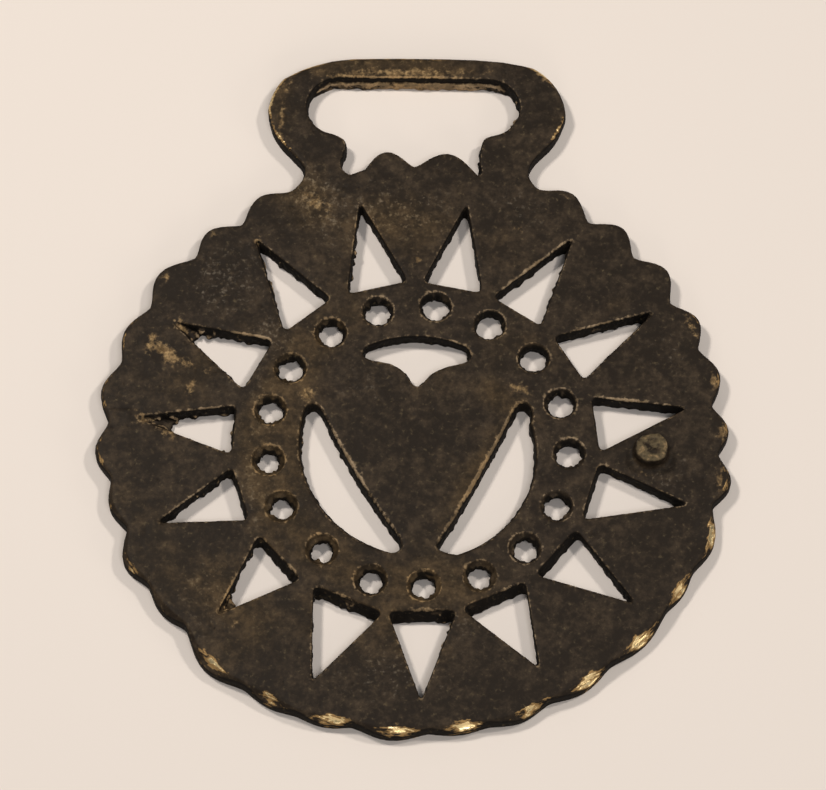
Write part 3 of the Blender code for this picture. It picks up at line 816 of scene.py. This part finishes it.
class Nodes:
    """Short ways to add and join the nodes of one material."""

    def __init__(self, material):
        material.use_nodes = True
        self.tree = material.node_tree
        self.shader = self.tree.nodes["Principled BSDF"]

    def add(self, kind, **settings):
        node = self.tree.nodes.new(kind)
        for name, value in settings.items():
            setattr(node, name, value)
        return node

    def join(self, value, socket):
        if isinstance(value, bpy.types.NodeSocket):
            self.tree.links.new(value, socket)
        else:
            socket.default_value = value

    def math(self, operation, first, second=0.0):
        node = self.add("ShaderNodeMath", operation=operation)
        self.join(first, node.inputs[0])
        self.join(second, node.inputs[1])
        return node.outputs[0]

    def times(self, first, second):
        return self.math("MULTIPLY", first, second)

    def plus(self, base, factor, value):
        """The base with so many times the value added."""
        return self.math("ADD", base, self.times(value, factor))

    def centred(self, noise):
        return self.math("SUBTRACT", noise, 0.5)

    def step(self, value, low, high):
        """0 where value is low, 1 where it is high, and smooth between."""
        node = self.add("ShaderNodeMapRange", interpolation_type="SMOOTHSTEP")
        self.join(value, node.inputs["Value"])
        node.inputs["From Min"].default_value = low
        node.inputs["From Max"].default_value = high
        return node.outputs["Result"]

    def step_within(self, mark, value, low, high):
        """The smooth step of a value, kept to where the mark is set."""
        return self.times(self.step(value, low, high), self.step(mark, 0.02, 0.15))

    def mix(self, share, first, second):
        node = self.add("ShaderNodeMix", data_type="RGBA")
        self.join(share, node.inputs["Factor"])
        self.join(first, node.inputs[6])
        self.join(second, node.inputs[7])
        return node.outputs[2]

    def noise(self, place, scale, detail, roughness):
        node = self.add("ShaderNodeTexNoise")
        self.join(place, node.inputs["Vector"])
        node.inputs["Scale"].default_value = scale
        node.inputs["Detail"].default_value = detail
        node.inputs["Roughness"].default_value = roughness
        return node.outputs["Fac"]

    def mark(self, name):
        return self.add("ShaderNodeAttribute", attribute_name=name).outputs["Fac"]

    def millimetres(self):
        """The place on the object, in millimetres."""
        scaled = self.add("ShaderNodeVectorMath", operation="SCALE")
        self.join(self.add("ShaderNodeTexCoord").outputs["Object"], scaled.inputs[0])
        scaled.inputs["Scale"].default_value = 1 / MM
        return scaled.outputs[0]

    def rim_streaks(self, place):
        """Noise drawn out along the rim."""
        parts = self.add("ShaderNodeSeparateXYZ")
        self.join(place, parts.inputs[0])
        x, y, z = parts.outputs
        radius = self.math("SQRT", self.math("ADD", self.times(x, x), self.times(y, y)))
        around = self.add("ShaderNodeCombineXYZ")
        self.join(self.times(radius, STREAK_ACROSS), around.inputs[0])
        self.join(self.times(self.math("ARCTAN2", x, y), STREAK_ALONG), around.inputs[1])
        self.join(self.times(z, STREAK_ACROSS), around.inputs[2])
        return self.noise(around.outputs[0], *STREAKS)


class Patina(Nodes):
    """The patina's layers, each drawn over the colour below it from the same few noises."""

    def __init__(self, material):
        super().__init__(material)
        self.place = self.millimetres()
        self.mottle = self.noise(self.place, *MOTTLE)
        self.fine = self.noise(self.place, *FINE)
        self.zones = self.centred(self.noise(self.place, *ZONES))
        grain = self.noise(self.place, *GRAIN)
        clouds = self.noise(self.place, *CLOUDS)
        self.speckle = self.centred(grain)
        self.shade = self.mark("shade")
        warm = self.plus(self.mark("brown"), 2.0, self.centred(clouds))
        self.warm = self.step(self.plus(warm, -0.3, self.shade), 0.05, 0.95)
        tone = self.plus(self.times(self.mottle, 0.75), 0.25, grain)
        self.tone = self.plus(tone, 0.2, self.zones)
        self.broken = self.centred(self.tone)
        self.grime_and_wall_shade = self.times(self.step(self.mark("grime_and_wall_shade"), 0.15, 0.9), 0.9)

    def skin(self):
        """The mottled dark skin, browner in places."""
        dark = self.mix(self.warm, DARK, DARK_BROWN)
        light = self.mix(self.warm, LIGHT, LIGHT_BROWN)
        toned = self.plus(self.tone, 0.035, self.warm)
        toned = self.plus(toned, -0.07, self.shade)
        return self.mix(self.step(toned, 0.4, 0.74), dark, light)

    def flecks(self, colour):
        """Pale flecks, thick where the face is freckled."""
        freckled = self.math("ADD", self.mark("freckled"), self.zones)
        flecks = self.plus(self.fine, 0.15, freckled)
        flecks = self.plus(flecks, 0.5, self.centred(self.mottle))
        flecks = self.plus(flecks, -0.05, self.shade)
        strength = self.plus(0.04, 0.8, self.step(freckled, 0.05, 0.7))
        share = self.times(self.step(flecks, 0.62, 0.86), strength)
        return self.mix(share, colour, self.mix(self.warm, FLECK, FLECK_BROWN))

    def wear(self, colour):
        """Grime in the hollows, painted shade darkening the walls, and high edges worn paler."""
        colour = self.mix(self.grime_and_wall_shade, colour, GRIME_AND_WALL_SHADE)
        edge = self.plus(self.mark("edge_wear"), 2.0, self.broken)
        return self.mix(self.times(self.step(edge, 0.6, 1.3), 0.25), colour, WORN_EDGE)

    def lips_and_highlights(self, colour):
        """Light worn lips along the openings, and the painted highlight on lit flash and on the ledge
        under the bar.
        """
        mark = self.mark("lip")
        lip = self.plus(mark, 1.7, self.speckle)
        pale = self.mix(self.warm, LIP_AND_HIGHLIGHT_PALE, LIP_AND_HIGHLIGHT_PALE_BROWN)
        lip_colour = self.mix(self.step(self.mottle, 0.4, 0.6), LIP_AND_HIGHLIGHT_DULL, pale)
        return self.mix(self.times(self.step_within(mark, lip, 0.16, 0.6), 0.9), colour, lip_colour)

    def stud(self, colour):
        """The stud's worn top, brassy where it is worn most."""
        stud = self.plus(self.mark("stud"), 3.0, self.speckle)
        colour = self.mix(self.times(self.step(stud, 0.2, 0.9), 0.9), colour, STUD_SKIN)
        return self.mix(self.times(self.step(stud, 0.95, 1.5), 0.8), colour, STUD_BRASS)

    def rubbed(self, colour):
        """The share that is rubbed down to brown brass, and the colour with it."""
        mark = self.mark("rubbed")
        rub = self.plus(mark, 2.0, self.broken)
        rub = self.plus(rub, 1.3, self.speckle)
        share = self.step_within(mark, rub, 0.4, 1.05)
        brass = self.mix(self.step(self.fine, 0.42, 0.6), BRASS_DULL, BRASS_BRIGHT)
        return share, self.mix(self.times(share, 0.9), colour, brass)

    def gilded(self, colour):
        """The shares that are burnished and golden, and the colour with them."""
        mark = self.mark("gold")
        shine = self.plus(mark, 0.8, self.broken)
        shine = self.plus(shine, 1.7, self.centred(self.rim_streaks(self.place)))
        burnished = self.step_within(mark, shine, 0.3, 0.52)
        golden = self.step_within(mark, shine, 0.6, 0.78)
        colour = self.mix(self.times(burnished, 0.9), colour, BURNISHED)
        return burnished, golden, self.mix(golden, colour, GOLD)

    def finish(self, bare, golden):
        """Metal where it is bare, duller in the grimy hollows and on the shaded walls, and a fine
        unevenness.
        """
        self.join(bare, self.shader.inputs["Metallic"])
        dull = self.plus(DULLNESS, 0.3, self.tone)
        dull = self.plus(dull, 0.3, self.grime_and_wall_shade)
        self.join(self.plus(dull, -0.3, golden), self.shader.inputs["Roughness"])
        self.shader.inputs["Specular IOR Level"].default_value = SPECULAR
        bump = self.add("ShaderNodeBump")
        bump.inputs["Strength"].default_value = BUMP_STRENGTH
        bump.inputs["Distance"].default_value = BUMP_HEIGHT * MM
        self.join(self.tone, bump.inputs["Height"])
        self.join(bump.outputs["Normal"], self.shader.inputs["Normal"])


def build_patina():
    """Dark, cloudy and freckled, with brown where hands rub it and gold where it wears through."""
    material = bpy.data.materials.new("patinated_brass")
    patina = Patina(material)
    colour = patina.flecks(patina.skin())
    colour = patina.lips_and_highlights(patina.wear(colour))
    colour = patina.stud(colour)
    rubbed, colour = patina.rubbed(colour)
    burnished, golden, colour = patina.gilded(colour)
    patina.join(colour, patina.shader.inputs["Base Color"])
    half_bare = patina.times(patina.math("MAXIMUM", rubbed, burnished), 0.5)
    patina.finish(patina.math("MAXIMUM", golden, half_bare), golden)
    return material


def build_floor():
    """A plain pale floor."""
    mesh = bpy.data.meshes.new("floor")
    corners = [(x * FLOOR_HALF, y * FLOOR_HALF, 0) for x, y in ((-1, -1), (1, -1), (1, 1), (-1, 1))]
    mesh.from_pydata(corners, [], [(0, 1, 2, 3)])
    floor = bpy.data.objects.new("floor", mesh)
    bpy.context.scene.collection.objects.link(floor)
    material = bpy.data.materials.new("floor")
    material.use_nodes = True
    shader = material.node_tree.nodes["Principled BSDF"]
    shader.inputs["Base Color"].default_value = FLOOR_COLOUR
    shader.inputs["Roughness"].default_value = FLOOR_ROUGHNESS
    shader.inputs["Specular IOR Level"].default_value = FLOOR_SPECULAR
    mesh.materials.append(material)


def area_light(name, place, size, power, colour):
    """A square soft light at a place in metres, turned to the object."""
    light = bpy.data.lights.new(name, "AREA")
    light.size = size
    light.energy = power
    light.color = colour
    lamp = bpy.data.objects.new(name, light)
    lamp.location = place
    lamp.rotation_euler = (-Vector(place)).to_track_quat("-Z", "Y").to_euler()
    bpy.context.scene.collection.objects.link(lamp)


def build_lights():
    """Soft lamps from both sides, above and low in front, in an even pale surrounding."""
    for row in LAMPS:
        area_light(*row)
    world = bpy.data.worlds.new("surrounding")
    world.use_nodes = True
    background = world.node_tree.nodes["Background"]
    background.inputs["Color"].default_value = SURROUNDING
    background.inputs["Strength"].default_value = SURROUNDING_STRENGTH
    bpy.context.scene.world = world


def build_camera():
    """The camera, over the foot of the disc and looking down on it."""
    camera = bpy.data.cameras.new("camera")
    tilt = math.radians(CAMERA_TILT)
    toward = Vector((0, -math.cos(tilt), math.sin(tilt)))
    holder = bpy.data.objects.new("camera", camera)
    holder.location = Vector(CAMERA_TARGET) * MM + toward * CAMERA_DISTANCE
    holder.rotation_euler = (math.pi / 2 - tilt, 0, 0)
    camera.sensor_width = SENSOR_WIDTH
    camera.lens = LENS
    camera.shift_x, camera.shift_y = SHIFT
    camera.clip_start = CLIP_START
    bpy.context.scene.collection.objects.link(holder)
    bpy.context.scene.camera = holder


build_casting()
build_floor()
build_lights()
build_camera()
bpy.context.scene.view_settings.view_transform = "Standard"
